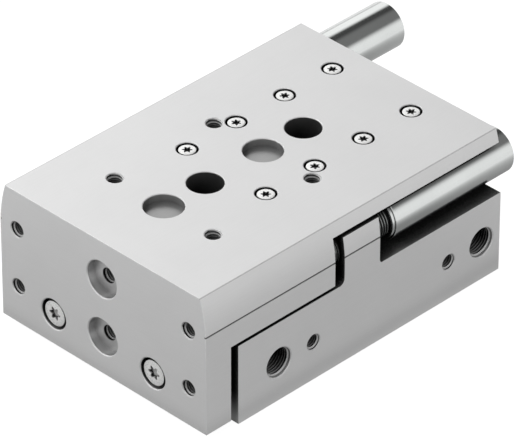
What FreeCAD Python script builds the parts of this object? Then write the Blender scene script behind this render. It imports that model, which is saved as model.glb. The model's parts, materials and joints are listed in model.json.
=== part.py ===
import FreeCAD, Part
import math
import os

# Pneumatic slide table: a housing with two cylinder bores carries a ball-guided slide.
# Lengths are millimetres. X runs across, with the air ports on the +X side, Y runs back from
# the yoke and Z runs up from the base. Places along Y are counted from the yoke's front face
# with the slide retracted. The finished pieces are then moved so that the origin lies on the
# base, midway between the two mounting holes.

# Overall
table_width = 84.0
table_height = 49.0
slide_length = 120.9
stroke = 50.0
edge_break = 0.3
block_edge_break = 0.1
contact_gap = 0.05
running_clearance = 0.03
thread_clearance = 0.05

# Slide, milled from one piece: top plate, front yoke, right skirt and left lug
yoke_thickness = 9.9
yoke_ground_gap = 2.8
slab_thickness = 8.5
wing_thickness = 4.5
shoulder_run = 2.35
shoulder_depth = 12.5
shoulder_bulge = 0.4
shoulder_groove = 0.3
skirt_depth = 20.5
skirt_end = 51.8
rib_cushion_gap = 1.4
rib_depth = 15.0

# Housing
front_gap = 2.95
housing_length = 108.3
skirt_gap = 1.2
ear_length = 14.5
stop_ear_length = 14.8
ear_rib_gap = 1.0
ear_wing_gap = 1.45
ear_front_fillet = 2.0
ear_rear_fillet = 1.3

# Mounting holes in the housing, reached through the slide and the fixed rail
mount_first = 41.4
mount_pitch = 40.0
access_radius = 5.5
mount_head_depth = 10.3
mount_clearance_radius = 3.4
mount_thread_radius = 4.0
mount_thread_length = 10.0

# Locating recesses, the same size on the base, the top and the yoke
locator_radius = 6.0
locator_depth = 2.5
yoke_locator_depth = 2.9

# Threaded holes a stranger uses
m5_radius = 2.5
top_thread_depth = 7.5
top_thread_spacing = 40.0
top_thread_first = 24.84
yoke_thread_depth = 9.0
yoke_thread_spacing = 70.0
yoke_hole_high = 35.7
yoke_hole_low = 15.7
side_thread_depth = 7.0
side_thread_places = (43.2, 99.3)
port_radius = 4.86
port_depth = 8.0
port_places = (29.2, 113.3)
port_height = 13.2
cross_drill_radius = 2.0

# Cylinders: bore, piston, rod, bearing and end cap
bore_offset = 20.4
bore_height = 13.25
bore_radius = 8.0
seat_radius = 8.5
front_seat_depth = 14.3
rear_seat_depth = 5.7
cap_clearance = 0.05
ring_land = 1.0
ring_groove_width = 1.1
ring_groove_radius = 9.1
ring_inner_radius = 7.2
ring_mouth = 4.0
ring_ear_radius = 1.3
ring_ear_hole = 0.6
o_ring_thickness = 1.7
o_ring_groove_width = 2.1
rod_radius = 4.0
rod_seat_depth = 2.0
rod_thread_depth = 16.0
rod_seal_radius = 6.0
rod_seal_length = 3.0
piston_front = 81.9
piston_length = 24.0
piston_clearance = 0.1
piston_groove_depth = 1.6
piston_seal_width = 2.2
wear_ring_width = 3.6
wear_ring_depth = 1.0
magnet_width = 3.4
spigot_radius = 3.0
nut_across_flats = 10.0
nut_length = 3.2
spigot_end = 0.6
puller_radius = 2.0
puller_depth = 2.4

# Screws
rod_screw_head_radius = 4.15
rod_screw_head_length = 4.0
rod_screw_sunk = 0.5
rod_counterbore_radius = 5.0
rod_screw_length = 12.0
rod_screw_hole = 2.75
rail_screw_first = 49.9
rail_screw_pitch = 20.0
rail_screw_count = 4
rail_screw_offset = 16.0
rail_screw_radius = 1.5
rail_screw_hole = 1.7
rail_screw_head_radius = 2.7
rail_screw_head_length = 3.0
rail_screw_sunk = 0.3
rail_counterbore_radius = 3.25
rail_screw_grip = 6.0
fixed_screw_first = 21.4
fixed_screw_pitch = 40.0
fixed_screw_count = 3
fixed_screw_radius = 2.0
fixed_screw_hole = 2.25
fixed_screw_head_radius = 3.5
fixed_screw_head_length = 4.0
fixed_counterbore_radius = 3.8
fixed_counterbore_depth = 4.4
fixed_screw_grip = 8.0
tap_run_out = 1.0
socket_share = 0.45

# Ball guide
fixed_rail_width = 20.0
fixed_rail_seat = 1.5
fixed_rail_inset = 2.5
fixed_rail_slab_gap = 1.0
guide_gap = 2.5
moving_rail_width = 7.5
moving_rail_height = 9.5
moving_rail_start = 40.0
moving_rail_length = 80.0
rail_chamfer = 0.6
ball_radius = 2.0
ball_count = 8
ball_pitch = 6.0
ball_clearance = 0.03
cage_thickness = 1.3
cage_height = 6.0
cage_centre = 70.0
stop_thickness = 1.0
stop_height = 6.5
stop_overlap = 1.6

# Cushions: the retract one sits in the housing's ear, the extend one in the slide's lug
cushion_inset = 7.6
cushion_depth = 12.35
cushion_thread_radius = 6.0
cushion_thread_length = 22.2
cushion_sleeve_radius = 7.5
cushion_front_chamfer = 0.7
cushion_rear_chamfer = 0.2
cushion_length = 72.7
cushion_projection = 1.75
cushion_stroke = 10.0
cushion_bore_radius = 4.2
cushion_bore_depth = 46.0
cushion_socket_radius = 3.0
cushion_socket_depth = 4.0
nose_radius = 4.5
nose_length = 2.0
nose_crown = 0.4
plunger_radius = 2.0
plunger_tail = 22.0
plunger_head_length = 4.0
bush_inset = 0.6
bush_length = 6.0

# Sensor slots on the left side
sensor_slot_heights = (8.0, 18.5)
sensor_slot_radius = 2.1
sensor_slot_mouth = 2.9
sensor_slot_inset = 2.7

# Places that follow from the sizes above
half_width = table_width / 2
flat_half_width = half_width - shoulder_run
slab_bottom = table_height - slab_thickness
wing_bottom = table_height - wing_thickness
shoulder_height = table_height - shoulder_depth
skirt_bottom = table_height - skirt_depth
housing_top = skirt_bottom - skirt_gap
housing_front = yoke_thickness + front_gap
housing_rear = housing_front + housing_length
ear_top = wing_bottom - ear_wing_gap
rail_seat_height = housing_top - fixed_rail_seat
fixed_rail_top = slab_bottom - fixed_rail_slab_gap
fixed_rail_half = fixed_rail_width / 2
moving_rail_inner = fixed_rail_half + guide_gap
moving_rail_outer = moving_rail_inner + moving_rail_width
ball_height = slab_bottom - moving_rail_height / 2
ball_offset = fixed_rail_half + guide_gap / 2
groove_reach = (ball_radius + ball_clearance) * math.sqrt(2)
cushion_offset = half_width - cushion_inset
cushion_height = table_height - cushion_depth
slab_half_width = cushion_offset - cushion_sleeve_radius - rib_cushion_gap
ear_inner = slab_half_width + ear_rib_gap
nose_allowance = nose_length + 2 * contact_gap
retract_cushion_front = skirt_end + nose_allowance
retract_ear_front = retract_cushion_front + cushion_projection
stop_face = housing_front + stop_ear_length
extend_cushion_front = stop_face + stroke + nose_allowance
extend_lug_front = extend_cushion_front + cushion_projection
front_seat_end = housing_front + front_seat_depth
rear_seat_start = housing_rear - rear_seat_depth
front_groove_end = housing_front + ring_land + ring_groove_width
rear_groove_start = housing_rear - ring_land - ring_groove_width
mount_places = (mount_first, mount_first + mount_pitch)
origin_place = mount_first + mount_pitch / 2
top_thread_places = (top_thread_first, top_thread_first + top_thread_spacing)
rail_screw_places = [rail_screw_first + k * rail_screw_pitch for k in range(rail_screw_count)]
fixed_screw_places = [fixed_screw_first + k * fixed_screw_pitch for k in range(fixed_screw_count)]
sides = {"left": -1, "right": 1}


def vec(x, y, z):
    return FreeCAD.Vector(x, y, z)


across = vec(1, 0, 0)
back = vec(0, 1, 0)
up = vec(0, 0, 1)


def box(x_range, y_range, z_range):
    """Block between two corners."""
    corner = vec(x_range[0], y_range[0], z_range[0])
    lengths = [high - low for low, high in (x_range, y_range, z_range)]
    return Part.makeBox(lengths[0], lengths[1], lengths[2], corner)


def side_range(side, inner, outer):
    """Low and high X of a strip that lies between two offsets on one side."""
    return tuple(sorted((side * inner, side * outer)))


def bar(start, direction, length, radius):
    """Round bar from a point along a direction."""
    return Part.makeCylinder(radius, length, start, direction)


def bar_back(x, z, y_range, radius):
    """Round bar along Y."""
    return bar(vec(x, y_range[0], z), back, y_range[1] - y_range[0], radius)


def bar_up(x, y, z_range, radius):
    """Round bar along Z."""
    return bar(vec(x, y, z_range[0]), up, z_range[1] - z_range[0], radius)


def hole(mouth, inward, radius, depth):
    """Cutter for a hole whose mouth has a broken edge."""
    rim = Part.makeCone(radius + edge_break, radius, edge_break, mouth, inward)
    return bar(mouth, inward, depth, radius).fuse(rim)


def turned(profile, x, z):
    """Solid turned about a line along Y, from points of distance along Y and radius."""
    corners = [vec(x + radius, y, z) for y, radius in profile]
    outline = Part.Face(Part.makePolygon(corners + corners[:1]))
    return outline.revolve(vec(x, 0, z), back, 360)


def ring(x, z, y_range, inner, outer):
    """Plain ring about a line along Y."""
    start, end = y_range
    return turned([(start, inner), (end, inner), (end, outer), (start, outer)], x, z)


def hexagon_bar(x, z, y_range, across_flats):
    """Hexagonal bar along Y."""
    reach = across_flats / math.sqrt(3)
    angles = [math.radians(60 * k) for k in range(6)]
    corners = [vec(x + reach * math.cos(a), y_range[0], z + reach * math.sin(a)) for a in angles]
    outline = Part.Face(Part.makePolygon(corners + corners[:1]))
    return outline.extrude(back * (y_range[1] - y_range[0]))


def shoulder_envelope(y_range, bottom):
    """Outer form shared by slide and ears: flat top, bowed shoulders, upright sides."""
    flat = flat_half_width
    start = y_range[0]
    length = math.hypot(shoulder_run, shoulder_depth)
    bow_x = (half_width + flat) / 2 + shoulder_bulge * shoulder_depth / length
    bow_z = table_height - shoulder_depth / 2 + shoulder_bulge * shoulder_run / length
    low_right = vec(half_width, start, bottom)
    side_right = vec(half_width, start, shoulder_height)
    top_right = vec(flat, start, table_height)
    top_left = vec(-flat, start, table_height)
    side_left = vec(-half_width, start, shoulder_height)
    low_left = vec(-half_width, start, bottom)
    edges = [
        Part.makeLine(low_right, side_right),
        Part.Arc(side_right, vec(bow_x, start, bow_z), top_right).toShape(),
        Part.makeLine(top_right, top_left),
        Part.Arc(top_left, vec(-bow_x, start, bow_z), side_left).toShape(),
        Part.makeLine(side_left, low_left),
        Part.makeLine(low_left, low_right),
    ]
    outline = Part.Face(Part.Wire(edges))
    return outline.extrude(back * (y_range[1] - start))


def cut_shoulder_grooves(shape):
    """Fine V line along both sides where the shoulders turn upright."""
    for side in sides.values():
        corners = [
            vec(side * (half_width + shoulder_groove), -stroke, shoulder_height + 2 * shoulder_groove),
            vec(side * (half_width - shoulder_groove), -stroke, shoulder_height),
            vec(side * (half_width + shoulder_groove), -stroke, shoulder_height - 2 * shoulder_groove),
        ]
        outline = Part.Face(Part.makePolygon(corners + corners[:1]))
        shape = shape.cut(outline.extrude(back * (slide_length + 2 * stroke)))
    return shape


def break_front_edges(solid, y):
    """Small chamfer round the outline of the face at one end."""
    near = block_edge_break / 10
    rim = [e for e in solid.Edges if all(abs(v.Y - y) < near for v in e.Vertexes)]
    return solid.makeChamfer(block_edge_break, rim)


def slide_table():
    body = shoulder_envelope((0, slide_length), yoke_ground_gap)
    body = break_front_edges(body, 0)
    body = break_front_edges(body, slide_length)
    far = slide_length + stroke
    below = -table_height
    behind_yoke = (yoke_thickness, far)
    body = body.cut(box((-table_width, table_width), behind_yoke, (below, skirt_bottom)))
    channel = (-moving_rail_outer, moving_rail_outer)
    body = body.cut(box(channel, behind_yoke, (below, slab_bottom)))
    lug_end = extend_lug_front + ear_length
    open_sides = (
        (1, (skirt_end, far)),
        (-1, (yoke_thickness, extend_lug_front)),
        (-1, (lug_end, far)),
    )
    for side, y_range in open_sides:
        outside = side_range(side, slab_half_width, table_width)
        under_rib = side_range(side, moving_rail_outer, slab_half_width)
        body = body.cut(box(outside, y_range, (below, wing_bottom)))
        body = body.cut(box(under_rib, y_range, (below, table_height - rib_depth)))
    body = cut_shoulder_grooves(body)
    return drill_yoke(drill_top(body))


def drill_top(body):
    cutters = []
    down = -up
    for y in top_thread_places:
        cutters.append(hole(vec(0, y, table_height), down, locator_radius, locator_depth))
        for side in sides.values():
            mouth = vec(side * top_thread_spacing / 2, y, table_height)
            cutters.append(hole(mouth, down, m5_radius, top_thread_depth))
    for y in mount_places:
        cutters.append(hole(vec(0, y, table_height), down, access_radius, slab_thickness))
    counterbore_depth = rail_screw_sunk + rail_screw_head_length
    for y in rail_screw_places:
        for side in sides.values():
            mouth = vec(side * rail_screw_offset, y, table_height)
            cutters.append(hole(mouth, down, rail_counterbore_radius, counterbore_depth))
            cutters.append(bar(mouth, down, slab_thickness, rail_screw_hole))
    return body.cut(cutters)


def drill_yoke(body):
    cutters = []
    for z in (yoke_hole_high, yoke_hole_low):
        cutters.append(hole(vec(0, 0, z), back, locator_radius, yoke_locator_depth))
        cutters.append(bar(vec(0, 0, z), back, yoke_thread_depth, m5_radius))
        for side in sides.values():
            mouth = vec(side * yoke_thread_spacing / 2, 0, z)
            cutters.append(hole(mouth, back, m5_radius, yoke_thread_depth))
    counterbore_depth = rod_screw_sunk + rod_screw_head_length
    rod_seat = yoke_thickness - rod_seat_depth
    for side in sides.values():
        x = side * bore_offset
        mouth = vec(x, 0, bore_height)
        cutters.append(hole(mouth, back, rod_counterbore_radius, counterbore_depth))
        cutters.append(bar(mouth, back, rod_seat, rod_screw_hole))
        seat = (rod_seat, yoke_thickness)
        cutters.append(bar_back(x, bore_height, seat, rod_radius + thread_clearance))
    cutters.append(cushion_hole(-1, (extend_lug_front, extend_lug_front + ear_length)))
    return body.cut(cutters)


def cushion_hole(side, y_range):
    """Threaded hole for a cushion, at the thread's nominal radius."""
    return bar_back(side * cushion_offset, cushion_height, y_range, cushion_thread_radius)


def ear(side, y_range, front_fillet, rear_fillet):
    """Upright ear on the housing, filleted at its root, with the slide's shoulder form."""
    front, rear = y_range
    root = housing_top
    base = housing_top - fixed_rail_seat
    slack = 1 - math.sqrt(0.5)
    x = side_range(side, ear_inner, table_width)[0]

    def point(y, z):
        return vec(x, y, z)

    edges = [Part.makeLine(point(front, root + front_fillet), point(front, ear_top))]
    edges.append(Part.makeLine(point(front, ear_top), point(rear, ear_top)))
    edges.append(Part.makeLine(point(rear, ear_top), point(rear, root + rear_fillet)))
    rear_bow = point(rear + rear_fillet * slack, root + rear_fillet * slack)
    rear_toe = point(rear + rear_fillet, root)
    edges.append(Part.Arc(point(rear, root + rear_fillet), rear_bow, rear_toe).toShape())
    edges.append(Part.makeLine(rear_toe, point(rear + rear_fillet, base)))
    if front_fillet:
        front_toe = point(front - front_fillet, root)
        front_bow = point(front - front_fillet * slack, root + front_fillet * slack)
        edges.append(Part.makeLine(point(rear + rear_fillet, base), point(front - front_fillet, base)))
        edges.append(Part.makeLine(point(front - front_fillet, base), front_toe))
        edges.append(Part.Arc(front_toe, front_bow, point(front, root + front_fillet)).toShape())
    else:
        edges.append(Part.makeLine(point(rear + rear_fillet, base), point(front, base)))
        edges.append(Part.makeLine(point(front, base), point(front, root)))
    block = Part.Face(Part.Wire(edges)).extrude(across * (table_width - ear_inner))
    envelope = shoulder_envelope((0, slide_length + stroke), 0)
    return block.common(envelope)


def housing():
    block = box((-half_width, half_width), (housing_front, housing_rear), (0, housing_top))
    block = block.makeChamfer(block_edge_break, block.Edges)
    retract_ear = (retract_ear_front, retract_ear_front + ear_length)
    right_ear = ear(1, retract_ear, ear_front_fillet, ear_rear_fillet)
    left_ear = ear(-1, (housing_front, stop_face), 0, ear_front_fillet)
    body = block.fuse([right_ear, left_ear]).removeSplitter()
    body = cut_shoulder_grooves(body)
    cutters = [cushion_hole(1, retract_ear)]
    cutters += rail_seat_cutters()
    cutters += mounting_cutters()
    cutters += cylinder_cutters()
    cutters += port_cutters()
    cutters += sensor_slot_cutters()
    return body.cut(cutters)


def rail_seat_cutters():
    seat_half = fixed_rail_half + contact_gap
    ends = (housing_front - front_gap, housing_rear + front_gap)
    cutters = [box((-seat_half, seat_half), ends, (rail_seat_height, table_height))]
    depth = fixed_screw_grip + tap_run_out
    for y in fixed_screw_places:
        cutters.append(bar(vec(0, y, rail_seat_height), -up, depth, fixed_screw_radius))
    return cutters


def mounting_cutters():
    cutters = []
    head_floor = rail_seat_height - mount_head_depth
    for y in mount_places:
        cutters.append(bar_up(0, y, (head_floor, rail_seat_height), access_radius))
        cutters.append(bar_up(0, y, (0, head_floor), mount_clearance_radius))
        thread_end = locator_depth + mount_thread_length
        cutters.append(bar_up(0, y, (0, thread_end), mount_thread_radius))
        cutters.append(hole(vec(0, y, 0), up, locator_radius, locator_depth))
    return cutters


def cylinder_cutters():
    cutters = []
    for side in sides.values():
        x = side * bore_offset
        through = (housing_front, housing_rear)
        cutters.append(bar_back(x, bore_height, through, bore_radius))
        cutters.append(hole(vec(x, housing_front, bore_height), back, seat_radius, front_seat_depth))
        cutters.append(hole(vec(x, housing_rear, bore_height), -back, seat_radius, rear_seat_depth))
        front_groove = (front_groove_end - ring_groove_width, front_groove_end)
        rear_groove = (rear_groove_start, rear_groove_start + ring_groove_width)
        for groove in (front_groove, rear_groove):
            cutters.append(bar_back(x, bore_height, groove, ring_groove_radius))
    return cutters


def port_cutters():
    cutters = []
    drill_end = -bore_offset
    for y in port_places:
        mouth = vec(half_width, y, port_height)
        cutters.append(hole(mouth, -across, port_radius, port_depth))
        cutters.append(bar(mouth, -across, half_width - drill_end, cross_drill_radius))
    for y in side_thread_places:
        cutters.append(hole(vec(half_width, y, port_height), -across, m5_radius, side_thread_depth))
    return cutters


def sensor_slot_cutters():
    cutters = []
    centre = -half_width + sensor_slot_inset
    ends = (housing_front - front_gap, housing_rear + front_gap)
    for z in sensor_slot_heights:
        mouth = (z - sensor_slot_mouth / 2, z + sensor_slot_mouth / 2)
        cutters.append(box((-table_width, centre), ends, mouth))
        cutters.append(bar_back(centre, z, ends, sensor_slot_radius))
    return cutters


def rail_bar(corners, start, length):
    """Straight rail from a section given as X and Z corners."""
    points = [vec(x, start, z) for x, z in corners]
    outline = Part.Face(Part.makePolygon(points + points[:1]))
    return outline.extrude(back * length)


def fixed_guide_rail():
    half = fixed_rail_half
    apex = ball_offset - groove_reach
    lip = half - apex
    right = [
        (half, rail_seat_height),
        (half, ball_height - lip),
        (apex, ball_height),
        (half, ball_height + lip),
        (half, fixed_rail_top - rail_chamfer),
        (half - rail_chamfer, fixed_rail_top),
    ]
    corners = right + [(-x, z) for x, z in reversed(right)]
    start = housing_front + fixed_rail_inset
    length = housing_length - 2 * fixed_rail_inset
    rail = rail_bar(corners, start, length)
    cutters = [bar_up(0, y, (rail_seat_height, fixed_rail_top), access_radius) for y in mount_places]
    counterbore = (fixed_rail_top - fixed_counterbore_depth, fixed_rail_top)
    for y in fixed_screw_places:
        cutters.append(bar_up(0, y, counterbore, fixed_counterbore_radius))
        cutters.append(bar_up(0, y, (rail_seat_height, fixed_rail_top), fixed_screw_hole))
    return rail.cut(cutters)


def moving_rail(side):
    inner = moving_rail_inner
    outer = moving_rail_outer
    apex = ball_offset + groove_reach
    lip = apex - inner
    bottom = slab_bottom - moving_rail_height
    corners = [
        (inner, slab_bottom),
        (inner, ball_height + lip),
        (apex, ball_height),
        (inner, ball_height - lip),
        (inner, bottom + rail_chamfer),
        (inner + rail_chamfer, bottom),
        (outer - rail_chamfer, bottom),
        (outer, bottom + rail_chamfer),
        (outer, slab_bottom),
    ]
    rail = rail_bar([(side * x, z) for x, z in corners], moving_rail_start, moving_rail_length)
    depth = rail_screw_grip + tap_run_out
    x = side * rail_screw_offset
    cutters = [bar(vec(x, y, slab_bottom), -up, depth, rail_screw_radius) for y in rail_screw_places]
    return rail.cut(cutters)


def screw(head_top, inward, head, shank):
    """Cap screw with a round socket; head and shank are pairs of radius and length."""
    head_radius, head_length = head
    shank_radius, shank_length = shank
    shape = bar(head_top, inward, head_length, head_radius)
    shape = shape.fuse(bar(head_top, inward, head_length + shank_length, shank_radius))
    socket_radius = head_radius * socket_share
    return shape.removeSplitter().cut(bar(head_top, inward, head_length / 2, socket_radius))


def rail_screws(side):
    shank_radius = rail_screw_radius - thread_clearance
    head_top = table_height - rail_screw_sunk
    shank_length = head_top - rail_screw_head_length - slab_bottom + rail_screw_grip
    head = (rail_screw_head_radius, rail_screw_head_length)
    shank = (shank_radius, shank_length)
    x = side * rail_screw_offset
    return [screw(vec(x, y, head_top), -up, head, shank) for y in rail_screw_places]


def fixed_rail_screws():
    head_seat = fixed_rail_top - fixed_counterbore_depth
    head_top = head_seat + fixed_screw_head_length
    head = (fixed_screw_head_radius, fixed_screw_head_length)
    shank_length = head_seat - rail_seat_height + fixed_screw_grip
    shank = (fixed_screw_radius - thread_clearance, shank_length)
    return [screw(vec(0, y, head_top), -up, head, shank) for y in fixed_screw_places]


def rod_screw(side):
    head = (rod_screw_head_radius, rod_screw_head_length)
    rod_seat = yoke_thickness - rod_seat_depth
    grip = rod_seat - rod_screw_sunk - rod_screw_head_length
    shank = (m5_radius - thread_clearance, grip + rod_screw_length)
    return screw(vec(side * bore_offset, rod_screw_sunk, bore_height), back, head, shank)


def guide_balls(side):
    first = cage_centre - (ball_count - 1) * ball_pitch / 2
    places = [first + k * ball_pitch for k in range(ball_count)]
    return [Part.makeSphere(ball_radius, vec(side * ball_offset, y, ball_height)) for y in places]


def ball_cage(side):
    length = ball_count * ball_pitch
    half = cage_thickness / 2
    y_range = (cage_centre - length / 2, cage_centre + length / 2)
    z_range = (ball_height - cage_height / 2, ball_height + cage_height / 2)
    strip = box(side_range(side, ball_offset - half, ball_offset + half), y_range, z_range)
    first = cage_centre - (ball_count - 1) * ball_pitch / 2
    pocket = ball_radius + running_clearance
    start = side_range(side, ball_offset - cage_thickness, ball_offset + cage_thickness)[0]
    cutters = []
    for k in range(ball_count):
        mouth = vec(start, first + k * ball_pitch, ball_height)
        cutters.append(bar(mouth, across, 2 * cage_thickness, pocket))
    return strip.cut(cutters)


def cage_stops():
    ends = (moving_rail_start - stop_thickness, moving_rail_start + moving_rail_length)
    inner = moving_rail_inner - stop_overlap
    z_range = (ball_height - stop_height / 2, ball_height + stop_height / 2)
    stops = []
    for side in sides.values():
        for y in ends:
            x_range = side_range(side, inner, moving_rail_outer)
            stops.append(box(x_range, (y, y + stop_thickness), z_range))
    return stops


def retaining_ring(side, y_range):
    """Open spring ring with two pierced ears at its mouth."""
    x = side * bore_offset
    z = bore_height
    start, end = y_range
    outer = ring_groove_radius - cap_clearance
    body = ring(x, z, y_range, ring_inner_radius, outer)
    mouth = (x - ring_mouth / 2, x + ring_mouth / 2)
    body = body.cut(box(mouth, y_range, (z - ring_groove_radius, z)))
    ear_reach = ring_inner_radius
    for turn in sides.values():
        ear_x = x + turn * (ring_mouth / 2 + ring_ear_radius)
        ear_z = z - math.sqrt(ear_reach ** 2 - (ear_x - x) ** 2)
        body = body.fuse(bar_back(ear_x, ear_z, y_range, ring_ear_radius))
        body = body.cut(bar_back(ear_x, ear_z, y_range, ring_ear_hole))
    return body


def front_retaining_rings():
    start = front_groove_end - ring_groove_width + cap_clearance
    end = front_groove_end
    return [retaining_ring(side, (start, end)) for side in sides.values()]


def rear_retaining_rings():
    start = rear_groove_start
    end = rear_groove_start + ring_groove_width - cap_clearance
    return [retaining_ring(side, (start, end)) for side in sides.values()]


def o_ring_groove(side, y):
    """Groove for an O-ring round a bearing or cap, centred at a place along Y."""
    x = side * bore_offset
    depth_radius = seat_radius - o_ring_thickness
    half = o_ring_groove_width / 2
    return ring(x, bore_height, (y - half, y + half), depth_radius, seat_radius)


def rod_bearing(side):
    x = side * bore_offset
    outer = seat_radius - cap_clearance
    inner = rod_radius + running_clearance
    body = ring(x, bore_height, (front_groove_end, front_seat_end), inner, outer)
    seal_end = front_groove_end + rod_seal_length
    body = body.cut(bar_back(x, bore_height, (front_groove_end, seal_end), rod_seal_radius))
    return body.cut(o_ring_groove(side, bearing_ring_place()))


def bearing_ring_place():
    return front_groove_end + rod_seal_length + o_ring_groove_width


def cap_ring_place():
    return (rear_seat_start + rear_groove_start) / 2


def rear_end_cap(side):
    x = side * bore_offset
    outer = seat_radius - cap_clearance
    body = bar_back(x, bore_height, (rear_seat_start, rear_groove_start), outer)
    puller = (rear_groove_start - puller_depth, rear_groove_start)
    body = body.cut(bar_back(x, bore_height, puller, puller_radius))
    return body.cut(o_ring_groove(side, cap_ring_place()))


def o_rings():
    """O-rings, with an eight-sided section in place of the round one."""
    minor = o_ring_thickness / 2 - cap_clearance
    major = seat_radius - o_ring_thickness / 2
    angles = [math.radians(45 * (k + 0.5)) for k in range(8)]
    rings = []
    for side in sides.values():
        for y in (bearing_ring_place(), cap_ring_place()):
            section = [(y + minor * math.cos(a), major + minor * math.sin(a)) for a in angles]
            rings.append(turned(section, side * bore_offset, bore_height))
    return rings


def rod_seals():
    seals = []
    start = front_groove_end + contact_gap
    end = front_groove_end + rod_seal_length
    lip = start + rod_seal_length / 3
    inner = rod_radius + running_clearance
    groove = (rod_seal_radius + rod_radius) / 2
    outer = rod_seal_radius - thread_clearance
    for side in sides.values():
        profile = [(start, inner), (end, inner), (end, outer), (start, outer), (lip, groove)]
        seals.append(turned(profile, side * bore_offset, bore_height))
    return seals


def piston_rod(side):
    x = side * bore_offset
    rod_end = yoke_thickness - rod_seat_depth
    spigot = piston_front + piston_length + nut_length + spigot_end
    profile = [
        (rod_end, 0),
        (rod_end, rod_radius - edge_break),
        (rod_end + edge_break, rod_radius),
        (piston_front, rod_radius),
        (piston_front, spigot_radius),
        (spigot - edge_break, spigot_radius),
        (spigot, spigot_radius - edge_break),
        (spigot, 0),
    ]
    rod = turned(profile, x, bore_height)
    return rod.cut(bar_back(x, bore_height, (rod_end, rod_end + rod_thread_depth), m5_radius))


def piston_grooves(side):
    """Start, width and depth of each groove along a piston."""
    land = (piston_length - 2 * piston_seal_width - wear_ring_width - magnet_width) / 5
    first = piston_front + land
    wear = first + piston_seal_width + land
    magnet = wear + wear_ring_width + land
    last = magnet + magnet_width + land
    grooves = {
        "front_seal": (first, piston_seal_width, piston_groove_depth),
        "wear": (wear, wear_ring_width, wear_ring_depth),
        "rear_seal": (last, piston_seal_width, piston_groove_depth),
    }
    if side < 0:
        grooves["magnet"] = (magnet, magnet_width, piston_groove_depth)
    return grooves


def piston(side):
    x = side * bore_offset
    outer = bore_radius - piston_clearance
    y_range = (piston_front, piston_front + piston_length)
    body = ring(x, bore_height, y_range, spigot_radius + running_clearance, outer)
    for start, width, depth in piston_grooves(side).values():
        body = body.cut(ring(x, bore_height, (start, start + width), outer - depth, bore_radius))
    return body


def groove_ring(side, name, reach):
    """Ring that fills one piston groove out to a radius."""
    start, width, depth = piston_grooves(side)[name]
    floor = bore_radius - piston_clearance - depth
    return ring(side * bore_offset, bore_height, (start, start + width), floor, reach)


def piston_seals():
    reach = bore_radius - running_clearance
    names = ("front_seal", "rear_seal")
    return [groove_ring(side, name, reach) for side in sides.values() for name in names]


def piston_wear_rings():
    return [groove_ring(side, "wear", bore_radius - running_clearance) for side in sides.values()]


def piston_magnet():
    return groove_ring(-1, "magnet", bore_radius - piston_clearance)


def piston_nuts():
    nuts = []
    start = piston_front + piston_length
    y_range = (start, start + nut_length)
    for side in sides.values():
        x = side * bore_offset
        nut = hexagon_bar(x, bore_height, y_range, nut_across_flats)
        nuts.append(nut.cut(bar_back(x, bore_height, y_range, spigot_radius + running_clearance)))
    return nuts


def cushion_body(side, front):
    """Threaded cushion with its smooth reservoir, bored from the front."""
    x = side * cushion_offset
    thread = cushion_thread_radius - thread_clearance
    sleeve = cushion_sleeve_radius
    shoulder = front + cushion_thread_length
    end = front + cushion_length
    profile = [
        (front, cushion_bore_radius),
        (front, thread - edge_break),
        (front + edge_break, thread),
        (shoulder, thread),
        (shoulder, sleeve - cushion_front_chamfer),
        (shoulder + cushion_front_chamfer, sleeve),
        (end - cushion_rear_chamfer, sleeve),
        (end, sleeve - cushion_rear_chamfer),
        (end, 0),
        (front + cushion_bore_depth, 0),
        (front + cushion_bore_depth, cushion_bore_radius),
    ]
    body = turned(profile, x, cushion_height)
    socket = (end - cushion_socket_depth, end)
    return body.cut(hexagon_bar(x, cushion_height, socket, 2 * cushion_socket_radius))


def cushion_bush(side, front):
    y_range = (front + bush_inset, front + bush_inset + bush_length)
    inner = plunger_radius + running_clearance
    outer = cushion_bore_radius - running_clearance
    return ring(side * cushion_offset, cushion_height, y_range, inner, outer)


def cushion_plunger(side, front, out):
    """Rod with its damping piston, standing out of the body by some of its stroke."""
    x = side * cushion_offset
    start = front - contact_gap - out
    tail = start + plunger_tail
    profile = [
        (start, 0),
        (start, plunger_radius),
        (tail, plunger_radius),
        (tail, cushion_bore_radius - piston_clearance),
        (tail + plunger_head_length, cushion_bore_radius - piston_clearance),
        (tail + plunger_head_length, 0),
    ]
    return turned(profile, x, cushion_height)


def cushion_nose(side, front, out):
    """Hard plastic cap on the plunger's end, with a slightly crowned face."""
    x = side * cushion_offset
    end = front - contact_gap - out
    start = end - nose_length
    profile = [
        (start, 0),
        (start, nose_radius / 2),
        (start + nose_crown, nose_radius),
        (end, nose_radius),
        (end, 0),
    ]
    return turned(profile, x, cushion_height)


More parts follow.
